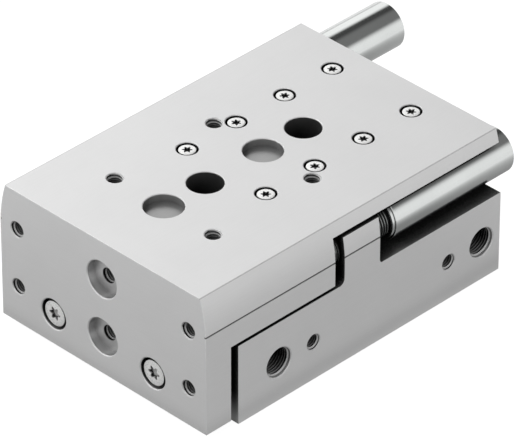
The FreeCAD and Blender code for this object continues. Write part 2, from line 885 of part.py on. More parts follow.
def all_nodes():
    nodes = {
        "housing": housing(),
        "fixed_guide_rail": fixed_guide_rail(),
        "fixed_rail_screws": fixed_rail_screws(),
        "front_retaining_rings": front_retaining_rings(),
        "rear_retaining_rings": rear_retaining_rings(),
        "rod_seals": rod_seals(),
        "o_rings": o_rings(),
        "slide_table": slide_table(),
        "cage_stops": cage_stops(),
        "piston_seals": piston_seals(),
        "piston_wear_rings": piston_wear_rings(),
        "piston_magnet": piston_magnet(),
        "piston_nuts": piston_nuts(),
    }
    for name, side in sides.items():
        nodes["rod_bearing_" + name] = rod_bearing(side)
        nodes["rear_end_cap_" + name] = rear_end_cap(side)
        nodes["moving_rail_" + name] = moving_rail(side)
        nodes["rail_screws_" + name] = rail_screws(side)
        nodes["rod_screw_" + name] = rod_screw(side)
        nodes["piston_rod_" + name] = piston_rod(side)
        nodes["piston_" + name] = piston(side)
        nodes["ball_cage_" + name] = ball_cage(side)
        nodes["guide_balls_" + name] = guide_balls(side)
    cushions = (
        ("retract", 1, retract_cushion_front, 0),
        ("extend", -1, extend_cushion_front, cushion_stroke),
    )
    for name, side, front, out in cushions:
        nodes[name + "_cushion_body"] = cushion_body(side, front)
        nodes[name + "_cushion_bush"] = cushion_bush(side, front)
        nodes[name + "_cushion_plunger"] = cushion_plunger(side, front, out)
        nodes[name + "_cushion_nose"] = cushion_nose(side, front, out)
    return nodes


def export(name, shape):
    """Write one node, moved so that the origin lies between the mounting holes."""
    solids = shape if isinstance(shape, list) else shape.Solids
    placed = [solid.translated(vec(0, -origin_place, 0)) for solid in solids]
    whole = placed[0] if len(placed) == 1 else Part.makeCompound(placed)
    whole.exportStep("parts/" + name + ".step")


os.makedirs("parts", exist_ok=True)
for node_name, node_shape in all_nodes().items():
    export(node_name, node_shape)
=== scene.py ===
import json
import math

import bmesh
import bpy
from mathutils import Matrix, Vector


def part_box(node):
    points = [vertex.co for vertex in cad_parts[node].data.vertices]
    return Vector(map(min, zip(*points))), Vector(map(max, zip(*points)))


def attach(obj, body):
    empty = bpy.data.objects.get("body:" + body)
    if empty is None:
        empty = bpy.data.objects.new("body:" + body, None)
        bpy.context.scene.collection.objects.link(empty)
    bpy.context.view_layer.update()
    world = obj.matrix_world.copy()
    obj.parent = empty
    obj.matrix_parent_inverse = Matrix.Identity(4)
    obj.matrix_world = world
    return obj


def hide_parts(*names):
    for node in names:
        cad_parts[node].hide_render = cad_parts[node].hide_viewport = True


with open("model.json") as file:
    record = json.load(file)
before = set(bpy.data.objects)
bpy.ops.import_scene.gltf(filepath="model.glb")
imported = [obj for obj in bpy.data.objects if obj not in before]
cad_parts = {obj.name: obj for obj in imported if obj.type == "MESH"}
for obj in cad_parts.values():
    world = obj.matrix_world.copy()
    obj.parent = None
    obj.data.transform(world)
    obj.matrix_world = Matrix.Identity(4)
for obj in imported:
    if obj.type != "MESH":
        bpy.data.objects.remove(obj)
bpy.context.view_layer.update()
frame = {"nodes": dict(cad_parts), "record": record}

# Sizes of the part are millimetres until they are placed, and angles are degrees.
# Lamps, floor and clipping are metres.
MM = 0.001

# Camera: where it looks from, and how much of the object it takes in
CAMERA_AZIMUTH = 44.876
CAMERA_ELEVATION = 34.709
CAMERA_ROLL = 0.067
CAMERA_DISTANCE = 1644.9
CAMERA_TARGET = (10.24, -9.30, 36.44)
CAMERA_LENS = 400.98
CAMERA_SENSOR = 36.0
CAMERA_CLIP = (0.05, 20.0)

# Screw heads and their six-lobed sockets, with the socket's inner and outer radius
RAIL_SCREW = {"head": 3.0, "rim": 0.3, "shank": 1.45, "pitch": 0.5, "socket": (0.9, 1.55), "depth": 1.0}
ROD_SCREW = {"head": 4.0, "rim": 0.3, "shank": 2.45, "pitch": 0.8, "socket": (1.35, 2.25), "depth": 1.0}
RAIL_SCREW_COUNT = 4
FIRST_TURN = 17.0
TURN_STEP = 23.0
LOBES = 6
LOBE_SHARPNESS = 1.25
SOCKET_EDGE = 0.1
SOCKET_EDGE_DEPTH = 0.12
SOCKET_FLOOR_SHARE = 0.8
SOCKET_TIP_SHARE = 0.3
RIM_ROUND_SHARE = 0.3
HEAD_FOOT = 0.15
SCREW_NECK = 0.3
SHANK_TIP_SHARE = 0.7

# Cushions: threaded neck, collar and long smooth sleeve
CUSHION_THREAD = 5.95
CUSHION_PITCH = 1.0
CUSHION_THREAD_START = 0.2
CUSHION_NECK_LENGTH = 22.2
CUSHION_MOUTH_EDGE = 0.3
CUSHION_NECK_LEAD = 0.4
CUSHION_COLLAR = 6.95
CUSHION_COLLAR_LENGTH = 1.0
CUSHION_COLLAR_ROUND = 0.45
CUSHION_SLEEVE_EDGE = 0.2
CUSHION_BORE = 4.2
CUSHION_BORE_DEPTH = 46.0
CUSHION_BORE_TIP_SHARE = 0.3
CUSHION_REAR_ROUND = 0.25
REAR_ROUND_PARTS = 6
CUSHION_SOCKET_REACH = 3.0
CUSHION_SOCKET_DEPTH = 4.0
CUSHION_SOCKET_EDGE = 0.25
CUSHION_SOCKET_CONE = 0.8
CUSHION_SOCKET_TIP = 0.3

# How finely round forms are divided, and the angle above which their edges stay sharp
ROUND_STEPS = 72
CUSHION_STEPS = 120
RIDGE_STEPS = 40
SHARP_ANGLE = 32.0

# Threads cut in the aluminium, by mount: pitch and depth from the mouth
TAPPED = {
    "base_threads": (1.25, 10.0),
    "table_threads": (0.8, 7.4),
    "yoke_threads": (0.8, 8.9),
    "yoke_centre_threads": (0.8, 6.0),
    "side_threads": (0.8, 6.9),
}
PORT_PITCH = 0.907
THREAD_START = 0.1

# Section of a thread ridge: its height and half widths as shares of the pitch
RIDGE_SHARE = 0.54
RIDGE_FOOT = 0.44
RIDGE_CREST = 0.09
RIDGE_ROOT = 0.04
RIDGE_FADE = 0.04

# Painted shade lines along both sides, in the grooves under the shoulders and on the long
# edges of the top: in each pair the shade starts at the first length and is full at the second
TABLE_TOP = 49.0
GROOVE_LEVEL = 36.5
GROOVE_HALF_WIDTH = (0.35, 0.15)
GROOVE_OUTSIDE = (41.4, 41.5)
GROOVE_SHADE = 0.75
TOP_RIM = 39.65
RIM_HALF_WIDTH = (0.3, 0.1)
RIM_DROP = (0.3, 0.2)
RIM_SHADE = 0.32

# Zones inside holes, for bare seats and painted shade, start and are full this far past the wall, below
# the mouth and past the floor
MARK_WALL = (0.12, 0.08)
MARK_MOUTH = (0.02, 0.06)
MARK_FLOOR = (0.3, 0.1)

# Centring seats are machined bare after anodising and get less painted hollow shade; the top seats are
# darkened with painted shade
SEATS = ("table_locators", "yoke_locators", "base_locators")
TOP_SEATS = "table_locators"
SEAT_DEPTH = 2.9
SEAT_METAL = 0.92
SEAT_ROUGHNESS = 0.30
SEAT_HOLLOW = 0.35
TOP_SEAT_SHADE = 0.34

# Painted shade: wells for the mounting screws, recesses of the rail screws and necks of the cushions are
# darkened
WELLS = "base_screws_from_above"
WELL_RADIUS = 5.5
WELL_DEPTH = 24.0
WELL_SHADE = 0.93
RECESS_RADIUS = 3.25
RECESS_DEPTH = 3.3
RECESS_SHADE = 0.9
NECK_RADIUS = (6.1, 6.0)
NECK_SHADE = 0.60

# Painted shade: hollows are darkened from open to this share of the sky and mixed towards black, but
# less in threads and near the floor
HOLLOW_OPEN = 0.92
HOLLOW_BLACK = 0.40
THREAD_HOLLOW = 0.72
FLOOR_REACH = 12.0
DEEP_BLACK = 0.01

# Texture shared by all materials. An edge starts and is full where the cosine between
# the rounded and the flat normal falls to the two values of EDGE_COSINE.
NOISE_RANGE = (0.3, 0.7)
NOISE_ROUGHNESS = 0.6
CLOUD_STRETCH = (55.0, 55.0, 55.0)
CLOUD_DETAIL = 2.0
EDGE_COSINE = (0.995, 0.85)
BUMP_STRENGTH = 0.6
BEVEL_SAMPLES = 6
SKY_SAMPLES = 8

# Light bands of the room as mirrored by the metal, by their angle about Y from +X upwards:
# middle of the band, half its full part, half its whole spread, brightness
BANDS = ((-5.0, 20.0, 50.0, 0.84), (152.0, 12.0, 34.0, 0.98), (60.0, 15.0, 42.0, 0.12))
ROOM = 0.06
FRONT_ROOM = 0.6
FRONT_START = -0.15
FRONT_FULL = -0.55
SKY = 0.12

# Floor: glow seen by the camera and in mirrors, and paint that takes the shadow; in mirrors the glow is
# low near the object, a painted shadow around it
FLOOR_HALF = 4.0
FLOOR_DROP = 0.00005
FLOOR_NEAR = 0.09
FLOOR_FAR = 0.26
FLOOR_GLOW = 0.94
FLOOR_GLOW_GAIN = 0.06
FLOOR_PAINT = 0.20
MIRROR_NEAR = 0.08
MIRROR_FAR = 0.24
MIRROR_GLOW = (0.14, 0.88)

# Lamps: place, side of the square and radiance
LAMPS = {
    "left_lamp": ((-0.43, -0.07, 0.42), 0.35, 7.4),
    "front_lamp": ((0.00, -0.52, 0.40), 0.40, 4.45),
    "side_lamp": ((0.93, 0.10, 0.30), 0.70, 3.58),
}


def add_node(tree, kind, sockets=None, **settings):
    """New shader node; a socket takes another node's output or a plain value."""
    node = tree.nodes.new(kind)
    for key, value in settings.items():
        setattr(node, key, value)
    for socket, value in (sockets or {}).items():
        if isinstance(value, bpy.types.NodeSocket):
            tree.links.new(value, node.inputs[socket])
        else:
            node.inputs[socket].default_value = value
    return node


def calculate(tree, operation, first, second=0.0):
    """Result of one sum or comparison."""
    return add_node(tree, "ShaderNodeMath", {0: first, 1: second}, operation=operation).outputs[0]


def product(tree, first, *others):
    """Product of two or more numbers."""
    for factor in others:
        first = calculate(tree, "MULTIPLY", first, factor)
    return first


def rest_of(tree, share):
    """What is left of 1."""
    return calculate(tree, "SUBTRACT", 1.0, share)


def vector_math(tree, operation, first, second=(0.0, 0.0, 0.0)):
    """Node of one operation on vectors."""
    return add_node(tree, "ShaderNodeVectorMath", {0: first, 1: second}, operation=operation)


def split(tree, vector):
    """The three parts of a vector, by name."""
    return add_node(tree, "ShaderNodeSeparateXYZ", {0: vector}).outputs


def distance(tree, aside, rise):
    """Length of the vector with these two parts."""
    flat = add_node(tree, "ShaderNodeCombineXYZ", {0: aside, 1: rise}).outputs[0]
    return vector_math(tree, "LENGTH", flat).outputs["Value"]


def ramp(tree, value, low, high):
    """0 below the first length and 1 above the second, or the other way round; in millimetres."""
    sockets = {"Value": value, "From Min": low * MM, "From Max": high * MM}
    return add_node(tree, "ShaderNodeMapRange", sockets).outputs[0]


def between(tree, share, first, second):
    """Number that goes from the first to the second with a share."""
    sockets = {"Value": share, "To Min": first, "To Max": second}
    return add_node(tree, "ShaderNodeMapRange", sockets).outputs[0]


def mix(tree, share, first, second):
    """The first number at share 0 and the second at share 1."""
    return add_node(tree, "ShaderNodeMix", {"Factor": share, 2: first, 3: second}).outputs[0]


def soft_step(tree, value, start, end, low, high):
    """Number that goes smoothly from low to high while the value goes from start to end."""
    sockets = {"Value": value, "From Min": start, "From Max": end, "To Min": low, "To Max": high}
    return add_node(tree, "ShaderNodeMapRange", sockets, interpolation_type="SMOOTHSTEP").outputs[0]


def noise(tree, place, stretch, detail):
    """Noise about 0.5, with its own scale along each axis, in cells per metre."""
    scaled = add_node(tree, "ShaderNodeMapping", {"Vector": place, "Scale": stretch}).outputs[0]
    sockets = {"Vector": scaled, "Scale": 1.0, "Detail": detail, "Roughness": NOISE_ROUGHNESS}
    return add_node(tree, "ShaderNodeTexNoise", sockets).outputs["Fac"]


def spread(tree, value, middle, half):
    """Maps noise, which mostly stays in its range, onto a range about a middle."""
    low, high = NOISE_RANGE
    sockets = {"Value": value, "From Min": low, "From Max": high}
    sockets.update({"To Min": middle - half, "To Max": middle + half})
    return add_node(tree, "ShaderNodeMapRange", sockets).outputs[0]


def scaled_color(tree, color, factor):
    """The colour with its brightness multiplied by a factor."""
    tint = add_node(tree, "ShaderNodeCombineColor", {0: color[0], 1: color[1], 2: color[2]}).outputs[0]
    sockets = {0: tint, "Scale": factor}
    return add_node(tree, "ShaderNodeVectorMath", sockets, operation="SCALE").outputs[0]


def new_material(name):
    """Material with an empty node tree."""
    material = bpy.data.materials.new(name)
    material.use_nodes = True
    material.node_tree.nodes.clear()
    return material, material.node_tree


def rounded_normal(tree, radius):
    """Normal that rounds sharp edges, and a mask that is 1 on them."""
    bevel = add_node(tree, "ShaderNodeBevel", {"Radius": radius * MM}, samples=BEVEL_SAMPLES).outputs[0]
    flat = add_node(tree, "ShaderNodeNewGeometry").outputs["True Normal"]
    turn = vector_math(tree, "DOT_PRODUCT", bevel, flat).outputs["Value"]
    start, full = EDGE_COSINE
    mask = add_node(tree, "ShaderNodeMapRange", {"Value": turn, "From Min": start, "From Max": full})
    return bevel, mask.outputs[0]


def record_mount(name):
    """Mount of the record with this name."""
    return next(mount for mount in frame["record"]["mounts"] if mount["name"] == name)


def pattern_places(mount):
    """Centres of a pattern's holes, from its spacings along the two directions across its axis."""
    axis = Vector(mount["axis"])
    crosswise = [side for side in Matrix.Identity(3) if round(side.dot(axis)) == 0]
    places = [Vector(mount["pos_m"])]
    for direction, key in zip(crosswise, ("spacing_x_mm", "spacing_y_mm")):
        half = mount["dims"].get(key, 0) * MM / 2
        if half:
            places = [place + sign * half * direction for place in places for sign in (-1, 1)]
    return places


def in_recess(tree, reach, height, radius, depth):
    """1 within a radius and between mouth and floor; the height counts up from the mouth."""
    near = ramp(tree, reach, radius + MARK_WALL[0], radius + MARK_WALL[1])
    sunk = ramp(tree, height, -MARK_MOUTH[0], -MARK_MOUTH[1])
    above = ramp(tree, height, -depth - MARK_FLOOR[0], -depth - MARK_FLOOR[1])
    return product(tree, near, sunk, above)


def inside_hole(tree, place, mouth, axis, radius, depth):
    """1 on the wall and the floor of a round hole and 0 elsewhere."""
    offset = vector_math(tree, "SUBTRACT", place, mouth).outputs[0]
    height = vector_math(tree, "DOT_PRODUCT", offset, axis).outputs["Value"]
    lengthwise = vector_math(tree, "PROJECT", offset, axis).outputs[0]
    sideways = vector_math(tree, "SUBTRACT", offset, lengthwise).outputs[0]
    reach = vector_math(tree, "LENGTH", sideways).outputs["Value"]
    return in_recess(tree, reach, height, radius, depth)


def inside_pattern(tree, place, name, depth):
    """1 inside the holes of one of the record's patterns."""
    mount = record_mount(name)
    axis = Vector(mount["axis"])
    radius = mount["dims"]["hole_r_mm"]
    total = 0.0
    for centre in pattern_places(mount):
        hole = inside_hole(tree, place, centre, axis, radius, depth)
        total = calculate(tree, "ADD", total, hole)
    return total


def bare_seats(tree, place):
    """1 inside the centring seats of the base, the top and the yoke."""
    total = 0.0
    for name in SEATS:
        total = calculate(tree, "ADD", total, inside_pattern(tree, place, name, SEAT_DEPTH))
    return total


def dark_wells(tree, place):
    """1 inside the two holes that let the mounting screws through from above, for their painted shade.
    """
    up = Vector((0, 0, 1))
    total = 0.0
    for centre in pattern_places(record_mount(WELLS)):
        mouth = Vector((centre.x, centre.y, TABLE_TOP * MM))
        hole = inside_hole(tree, place, mouth, up, WELL_RADIUS, WELL_DEPTH)
        total = calculate(tree, "ADD", total, hole)
    return total


def screw_row(node):
    """Middle across, first place, spacing and head radius of a row of rail screws, in metres."""
    low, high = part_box(node)
    head_radius = (high.x - low.x) / 2
    first = low.y + head_radius
    pitch = (high.y - head_radius - first) / (RAIL_SCREW_COUNT - 1)
    return (high.x + low.x) / 2, first, pitch, head_radius


def screw_recesses(tree, place):
    """1 inside the recesses of the rail screws, which lie in two even rows, for their painted shade."""
    middle, first, pitch = screw_row("rail_screws_right")[:3]
    parts = split(tree, place)
    aside = calculate(tree, "SUBTRACT", calculate(tree, "ABSOLUTE", parts["X"]), middle)
    from_first = calculate(tree, "SUBTRACT", parts["Y"], first)
    from_nearest = calculate(tree, "PINGPONG", from_first, pitch / 2)
    height = calculate(tree, "SUBTRACT", parts["Z"], TABLE_TOP * MM)
    return in_recess(tree, distance(tree, aside, from_nearest), height, RECESS_RADIUS, RECESS_DEPTH)


def shoulder_grooves(tree, aside, height):
    """1 in the fine grooves under the shoulders, where a painted shade line goes."""
    off_level = calculate(tree, "ABSOLUTE", calculate(tree, "SUBTRACT", height, GROOVE_LEVEL * MM))
    outside = ramp(tree, aside, *GROOVE_OUTSIDE)
    return product(tree, ramp(tree, off_level, *GROOVE_HALF_WIDTH), outside)


def top_rims(tree, aside, height):
    """1 on the long edges of the top face, where a painted shade line goes."""
    off_rim = calculate(tree, "ABSOLUTE", calculate(tree, "SUBTRACT", aside, TOP_RIM * MM))
    on_top = ramp(tree, height, TABLE_TOP - RIM_DROP[0], TABLE_TOP - RIM_DROP[1])
    return product(tree, ramp(tree, off_rim, *RIM_HALF_WIDTH), on_top)


def aluminium_painted_shade(tree, place):
    """Painted shade of the grooves, the rims, the wells, the top seats and the screw recesses."""
    parts = split(tree, place)
    aside = calculate(tree, "ABSOLUTE", parts["X"])
    groove = product(tree, shoulder_grooves(tree, aside, parts["Z"]), GROOVE_SHADE)
    rim = product(tree, top_rims(tree, aside, parts["Z"]), RIM_SHADE)
    shade = calculate(tree, "ADD", groove, rim)
    places = (
        (dark_wells(tree, place), WELL_SHADE),
        (inside_pattern(tree, place, TOP_SEATS, SEAT_DEPTH), TOP_SEAT_SHADE),
        (screw_recesses(tree, place), RECESS_SHADE),
    )
    for inside, depth_of_shade in places:
        shade = calculate(tree, "MAXIMUM", shade, product(tree, inside, depth_of_shade))
    return shade


def off_axis(tree, place, node):
    """Distance from the long axis of a node on the right, or of its twin on the left."""
    low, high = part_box(node)
    centre = (low + high) / 2
    parts = split(tree, place)
    aside = calculate(tree, "SUBTRACT", calculate(tree, "ABSOLUTE", parts["X"]), centre.x)
    rise = calculate(tree, "SUBTRACT", parts["Z"], centre.z)
    return distance(tree, aside, rise)


def cushion_necks(tree, place):
    """Painted shade on the threaded necks of the two cushions."""
    reach = off_axis(tree, place, "retract_cushion_body")
    return product(tree, ramp(tree, reach, *NECK_RADIUS), NECK_SHADE)


def painted_hollow_shade(tree, place, reach, hollow_shade_depth):
    """Share of painted shade: none in the open, more where the sky is blocked, less near the floor."""
    sky = add_node(tree, "ShaderNodeAmbientOcclusion", {"Distance": reach * MM}, samples=SKY_SAMPLES)
    closed = add_node(tree, "ShaderNodeMapRange", {
        "Value": sky.outputs["AO"], "From Min": HOLLOW_OPEN, "From Max": HOLLOW_BLACK, "To Max": hollow_shade_depth})
    clear = ramp(tree, split(tree, place)["Z"], 0.0, FLOOR_REACH)
    cut_thread = add_node(tree, "ShaderNodeObjectInfo").outputs["Object Index"]
    return product(tree, closed.outputs[0], clear, between(tree, cut_thread, 1.0, THREAD_HOLLOW))


def milled(tree, place, stretch, detail):
    """Fine milling lines: along Y on the long faces, across on the ends."""
    lengthwise = noise(tree, place, stretch, detail)
    end_on = noise(tree, place, (stretch[1], stretch[0], stretch[2]), detail)
    normal = add_node(tree, "ShaderNodeNewGeometry").outputs["True Normal"]
    facing = split(tree, normal)["Y"]
    square = product(tree, facing, facing)
    return mix(tree, square, lengthwise, end_on)


def turned_face(tree, place, stretch, detail):
    """Concentric tool marks about the two bore axes."""
    radius = off_axis(tree, place, "rear_end_cap_right")
    rings = add_node(tree, "ShaderNodeCombineXYZ", {0: radius, 1: split(tree, place)["Y"]}).outputs[0]
    return noise(tree, rings, stretch, detail)


def solid_finish(name, color, metallic, roughness, pattern=noise, grain=(3000.0, 3000.0, 3000.0),
                 detail=3.0, tone=0.05, cloud=0.03, gloss=0.05, height=0.002, edge=0.12, wear=0.10,
                 hollow=4.0, hollow_shade_depth=0.5, marks=None, bare=None):
    """Material with grain in colour, roughness and bump, worn edges and painted shade where it is
    hollow.
    """
    material, tree = new_material(name)
    place = add_node(tree, "ShaderNodeTexCoord").outputs["Object"]
    fine = pattern(tree, place, grain, detail)
    broad = noise(tree, place, CLOUD_STRETCH, CLOUD_DETAIL)
    smooth, on_edge = rounded_normal(tree, edge)
    worn = calculate(tree, "ADD", 1.0, product(tree, on_edge, wear))
    bright = product(tree, spread(tree, fine, 1.0, tone), spread(tree, broad, 1.0, cloud), worn)
    coarse = spread(tree, fine, roughness, gloss)
    painted_shade = painted_hollow_shade(tree, place, hollow, hollow_shade_depth)
    if bare:
        bared = bare(tree, place)
        painted_shade = product(tree, painted_shade, between(tree, bared, 1.0, SEAT_HOLLOW))
        metallic = between(tree, bared, metallic, SEAT_METAL)
        coarse = mix(tree, bared, coarse, SEAT_ROUGHNESS)
    bright = product(tree, bright, rest_of(tree, painted_shade))
    # Painted shade of grooves, rims, wells, seats, screw recesses and cushion necks darkens the colour.
    if marks:
        bright = product(tree, bright, rest_of(tree, marks(tree, place)))
    bump = add_node(tree, "ShaderNodeBump", {
        "Strength": BUMP_STRENGTH, "Distance": height * MM, "Height": fine, "Normal": smooth})
    shader = add_node(tree, "ShaderNodeBsdfPrincipled", {
        "Base Color": scaled_color(tree, color, bright), "Metallic": metallic, "Roughness": coarse,
        "Normal": bump.outputs[0]})
    # Painted shade: the deepest hollow places are mixed towards a black, unlit surface.
    black = (DEEP_BLACK, DEEP_BLACK, DEEP_BLACK, 1.0)
    unlit = add_node(tree, "ShaderNodeBsdfDiffuse", {"Color": black})
    painted_black = product(tree, painted_shade, painted_shade)
    mixed = add_node(tree, "ShaderNodeMixShader", {0: painted_black, 1: shader.outputs[0], 2: unlit.outputs[0]})
    add_node(tree, "ShaderNodeOutputMaterial", {"Surface": mixed.outputs[0]})
    return material


def anodised_aluminium():
    """Housing and slide: pale, satin and finely milled."""
    return solid_finish(
        "anodised_aluminium", (0.76, 0.76, 0.76), metallic=0.30, roughness=0.42,
        pattern=milled, grain=(5200.0, 90.0, 5200.0), tone=0.018, cloud=0.012, height=0.0012,
        edge=0.04, wear=0.03, hollow=9.0, hollow_shade_depth=1.0, marks=aluminium_painted_shade, bare=bare_seats)


def cap_aluminium():
    """Bearings and end caps: turned and left bright."""
    return solid_finish(
        "cap_aluminium", (0.55, 0.56, 0.57), metallic=0.75, roughness=0.33,
        pattern=turned_face, grain=(6500.0, 900.0, 1.0), gloss=0.08)


def rail_steel():
    """Hardened rails, ground lengthwise."""
    return solid_finish(
        "rail_steel", (0.42, 0.43, 0.44), metallic=0.95, roughness=0.24,
        grain=(4200.0, 60.0, 4200.0), gloss=0.07)


def screw_steel():
    """Plated screws."""
    return solid_finish(
        "screw_steel", (0.92, 0.92, 0.91), metallic=0.25, roughness=0.30,
        tone=0.03, edge=0.05, wear=0.0, hollow=2.5, hollow_shade_depth=0.9)


def spring_steel():
    """Dark retaining rings."""
    return solid_finish(
        "spring_steel", (0.07, 0.07, 0.075), metallic=0.7, roughness=0.42,
        tone=0.12)


def rod_steel():
    """Polished rods and plungers."""
    return solid_finish(
        "rod_steel", (0.80, 0.81, 0.82), metallic=1.0, roughness=0.10,
        tone=0.01, gloss=0.02)


def cushion_steel():
    """Bright turned cushions, with painted shade on their necks."""
    return solid_finish(
        "cushion_steel", (0.79, 0.81, 0.80), metallic=1.0, roughness=0.13,
        grain=(300.0, 5200.0, 300.0), tone=0.02, gloss=0.03, height=0.0008, edge=0.1, wear=0.0,
        hollow=3.0, hollow_shade_depth=0.85, marks=cushion_necks)


def bush_bronze():
    """Sintered bushes."""
    return solid_finish(
        "bush_bronze", (0.50, 0.34, 0.15), metallic=0.9, roughness=0.38,
        detail=6.0, tone=0.2, gloss=0.1)


def seal_rubber():
    """Black seals and O-rings."""
    return solid_finish(
        "seal_rubber", (0.018, 0.018, 0.019), metallic=0.0, roughness=0.55,
        tone=0.15, height=0.01)


def wear_plastic():
    """Sand-coloured wear rings."""
    return solid_finish(
        "wear_plastic", (0.55, 0.47, 0.32), metallic=0.0, roughness=0.5,
        tone=0.08)


def magnet_iron():
    """Dark sintered magnet."""
    return solid_finish(
        "magnet_iron", (0.05, 0.05, 0.052), metallic=0.1, roughness=0.6,
        tone=0.25, height=0.01)


def cage_plastic():
    """Pale ball cages."""
    return solid_finish(
        "cage_plastic", (0.70, 0.68, 0.60), metallic=0.0, roughness=0.4,
        tone=0.03, height=0.004)


def nose_plastic():
    """Black nose caps of the plungers."""
    return solid_finish(
        "nose_plastic", (0.03, 0.03, 0.033), metallic=0.0, roughness=0.42,
        tone=0.1, height=0.006)


def ball_steel():
    """Mirror-bright guide balls."""
    return solid_finish(
        "ball_steel", (0.76, 0.77, 0.78), metallic=1.0, roughness=0.07,
        tone=0.01, gloss=0.02)


def make_materials():
    """All materials, by the record's slot."""
    return {
        "anodised_aluminium": anodised_aluminium(),
        "cap_aluminium": cap_aluminium(),
        "rail_steel": rail_steel(),
        "screw_steel": screw_steel(),
        "spring_steel": spring_steel(),
        "rod_steel": rod_steel(),
        "cushion_steel": cushion_steel(),
        "bush_bronze": bush_bronze(),
        "seal_rubber": seal_rubber(),
        "wear_plastic": wear_plastic(),
        "magnet_iron": magnet_iron(),
        "cage_plastic": cage_plastic(),
        "nose_plastic": nose_plastic(),
        "ball_steel": ball_steel(),
    }


def dress_nodes(materials):
    """Every CAD node takes the material of its slot in the record."""
    for row in frame["record"]["subparts"]:
        data = frame["nodes"][row["node"]].data
        data.materials.clear()
        data.materials.append(materials[row["material_slot"]])


def ring_points(axial, radius, steps):
    """One ring about local Z; radius is a number or a function of the angle."""
    points = []
    for k in range(steps):
        angle = 2 * math.pi * k / steps
        reach = radius(angle) if callable(radius) else radius
        points.append(Vector((reach * math.cos(angle), reach * math.sin(angle), axial)))
    return points


def stack(rings, steps=ROUND_STEPS):
    """Closed skin through rings of axial place and radius, with a point at each end."""
    verts = []
    faces = []
    for axial, radius in rings:
        verts += ring_points(axial, radius, steps)
    for row in range(len(rings) - 1):
        for k in range(steps):
            here = row * steps + k
            beside = row * steps + (k + 1) % steps
            faces.append((here, beside, beside + steps, here + steps))
    last_row = (len(rings) - 1) * steps
    for ring_start, axial in ((0, rings[0][0]), (last_row, rings[-1][0])):
        tip = len(verts)
        verts.append(Vector((0, 0, axial)))
        for k in range(steps):
            faces.append((tip, ring_start + k, ring_start + (k + 1) % steps))
    return verts, faces


def ridge(root, crest, pitch, start, length, steps=RIDGE_STEPS):
    """Closed helical ridge about local Z, fading in and out over half a turn."""
    count = int(steps * (length - pitch) / pitch)
    verts = []
    faces = []
    for k in range(count + 1):
        angle = 2 * math.pi * k / steps
        axial = start + pitch / 2 + pitch * k / steps
        fade = max(RIDGE_FADE, min(1.0, 2 * k / steps, 2 * (count - k) / steps))
        top = root + (crest - root) * fade
        section = ((-RIDGE_FOOT, root), (-RIDGE_CREST, top), (RIDGE_CREST, top), (RIDGE_FOOT, root))
        for shift, radius in section:
            point = (radius * math.cos(angle), radius * math.sin(angle), axial + shift * pitch)
            verts.append(Vector(point))
    sides = 4
    for k in range(count):
        for side in range(sides):
            here = k * sides + side
            beside = k * sides + (side + 1) % sides
            faces.append((here, beside, beside + sides, here + sides))
    faces.append(tuple(range(sides)))
    faces.append(tuple(range(count * sides, (count + 1) * sides)))
    return verts, faces


def inner_ridge(radius, pitch, start, length):
    """Thread left standing in a tapped hole of that nominal radius."""
    return ridge(radius + RIDGE_ROOT, radius - RIDGE_SHARE * pitch, pitch, start, length)


def outer_ridge(radius, pitch, start, length):
    """Thread standing on a core, out to its nominal radius."""
    core = radius - RIDGE_SHARE * pitch
    return ridge(core - RIDGE_ROOT, radius, pitch, start, length)


class Skin:
    """Points and faces of one piece, gathered from several closed forms."""

    def __init__(self):
        self.verts = []
        self.faces = []

    def add(self, form, place):
        """Takes in one closed form, moved to its place."""
        verts, faces = form
        start = len(self.verts)
        self.verts += [place @ point for point in verts]
        self.faces += [tuple(start + i for i in face) for face in faces]


def along(mouth, inward):
    """Placement in metres whose local Z runs inward from a mouth given in metres."""
    turn = Vector(inward).to_track_quat("Z", "Y").to_matrix().to_4x4()
    return Matrix.Translation(Vector(mouth)) @ turn @ Matrix.Scale(MM, 4)


def make_piece(name, skin, slot, body, materials, replaced=()):
    """Object from a skin, riding on a body and standing for any nodes it replaces."""
    mesh = bpy.data.meshes.new(name)
    mesh.from_pydata(skin.verts, [], skin.faces)
    work = bmesh.new()
    work.from_mesh(mesh)
    bmesh.ops.recalc_face_normals(work, faces=work.faces)
    work.to_mesh(mesh)
    work.free()
    mesh.shade_smooth()
    mesh.set_sharp_from_angle(angle=math.radians(SHARP_ANGLE))
    mesh.materials.append(materials[slot])
    piece = bpy.data.objects.new(name, mesh)
    bpy.context.scene.collection.objects.link(piece)
    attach(piece, body)
    if replaced:
        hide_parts(*replaced)
    return piece


def lobed(inner, outer):
    """Radius of a six-lobed socket at an angle."""
    def radius(angle):
        wave = (1 + math.cos(LOBES * angle)) / 2
        return inner + (outer - inner) * wave ** LOBE_SHARPNESS
    return radius


def hexagon(reach):
    """Radius of a hexagonal socket at an angle, by half its distance across the flats."""
    def radius(angle):
        turned = (angle + math.pi / 6) % (math.pi / 3) - math.pi / 6
        return reach / math.cos(turned)
    return radius


def screw_forms(head_radius, length, spec):
    """Head with chamfers and a six-lobed socket on a threaded shank; Z runs from head to tip."""
    inner, outer = spec["socket"]
    depth = spec["depth"]
    pitch = spec["pitch"]
    core = spec["shank"] - RIDGE_SHARE * pitch
    head = spec["head"]
    rim = spec["rim"]
    rim_round = RIM_ROUND_SHARE * rim
    rings = [
        (depth + SCREW_NECK, SOCKET_TIP_SHARE * inner),
        (depth, SOCKET_FLOOR_SHARE * inner),
        (depth, lobed(inner, outer)),
        (SOCKET_EDGE_DEPTH, lobed(inner, outer)),
        (0.0, lobed(inner + SOCKET_EDGE, outer + SOCKET_EDGE)),
        (0.0, head_radius - rim),
        (rim_round, head_radius - rim_round),
        (rim, head_radius),
        (head - HEAD_FOOT, head_radius),
        (head, head_radius - HEAD_FOOT),
        (head, core + HEAD_FOOT),
        (head + HEAD_FOOT, core),
        (length - pitch, core),
        (length, SHANK_TIP_SHARE * core),
    ]
    thread_start = head + SCREW_NECK
    thread = outer_ridge(spec["shank"], pitch, thread_start, length - thread_start - pitch)
    return [stack(rings), thread]


